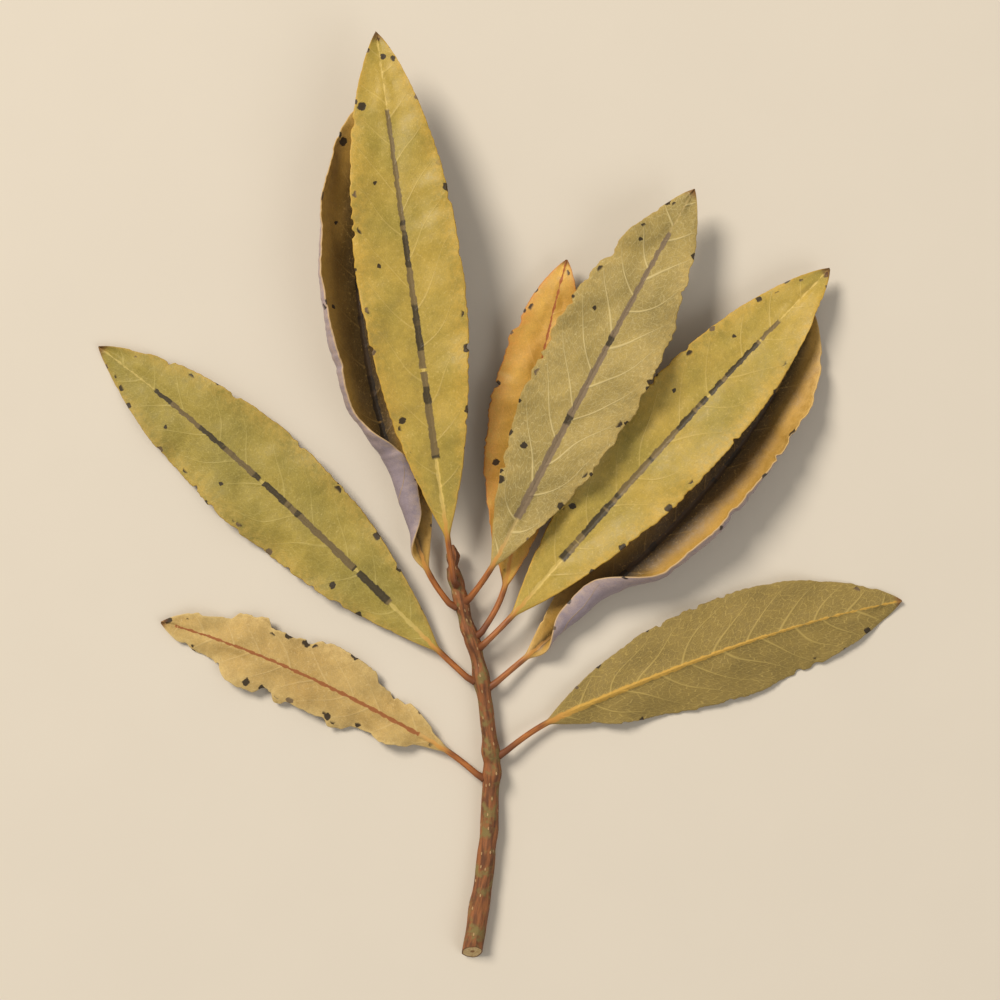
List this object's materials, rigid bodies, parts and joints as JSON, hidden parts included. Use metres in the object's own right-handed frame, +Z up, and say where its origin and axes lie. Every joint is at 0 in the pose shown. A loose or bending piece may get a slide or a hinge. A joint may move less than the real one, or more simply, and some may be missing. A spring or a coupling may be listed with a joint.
{
  "type": "bay leaf sprig",
  "caption": "Cut sprig of dried bay lying flat: a thin woody twig with narrow olive-gold, khaki and orange-tan leaves, some with a rolled-up margin",
  "frame": {"origin": "On the surface the sprig lies on, under the middle of its outline", "axes": "+Z is up off the surface; +Y runs from the cut end of the twig to the tips of the upper leaves; +X is to the right seen from above"},
  "size_m": [0.1412, 0.1608, 0.0149],
  "materials": {
    "twig_bark": "matte",
    "leaf_olive_gold": "satin",
    "leaf_golden_brown": "satin",
    "leaf_pale_khaki": "matte",
    "leaf_orange_tan": "satin",
    "leaf_cream_tan": "matte"
  },
  "bodies": {
    "root": {"twig": "twig_bark", "leaf_long_flat": "leaf_olive_gold", "leaf_flat_right": "leaf_olive_gold", "leaf_olive_left": "leaf_olive_gold", "leaf_curled_left": "leaf_golden_brown", "leaf_curled_right": "leaf_golden_brown", "leaf_pale_wavy": "leaf_pale_khaki", "leaf_veined_right": "leaf_pale_khaki", "leaf_small_orange": "leaf_orange_tan", "leaf_ragged_left": "leaf_cream_tan"}
  },
  "joints": []
}
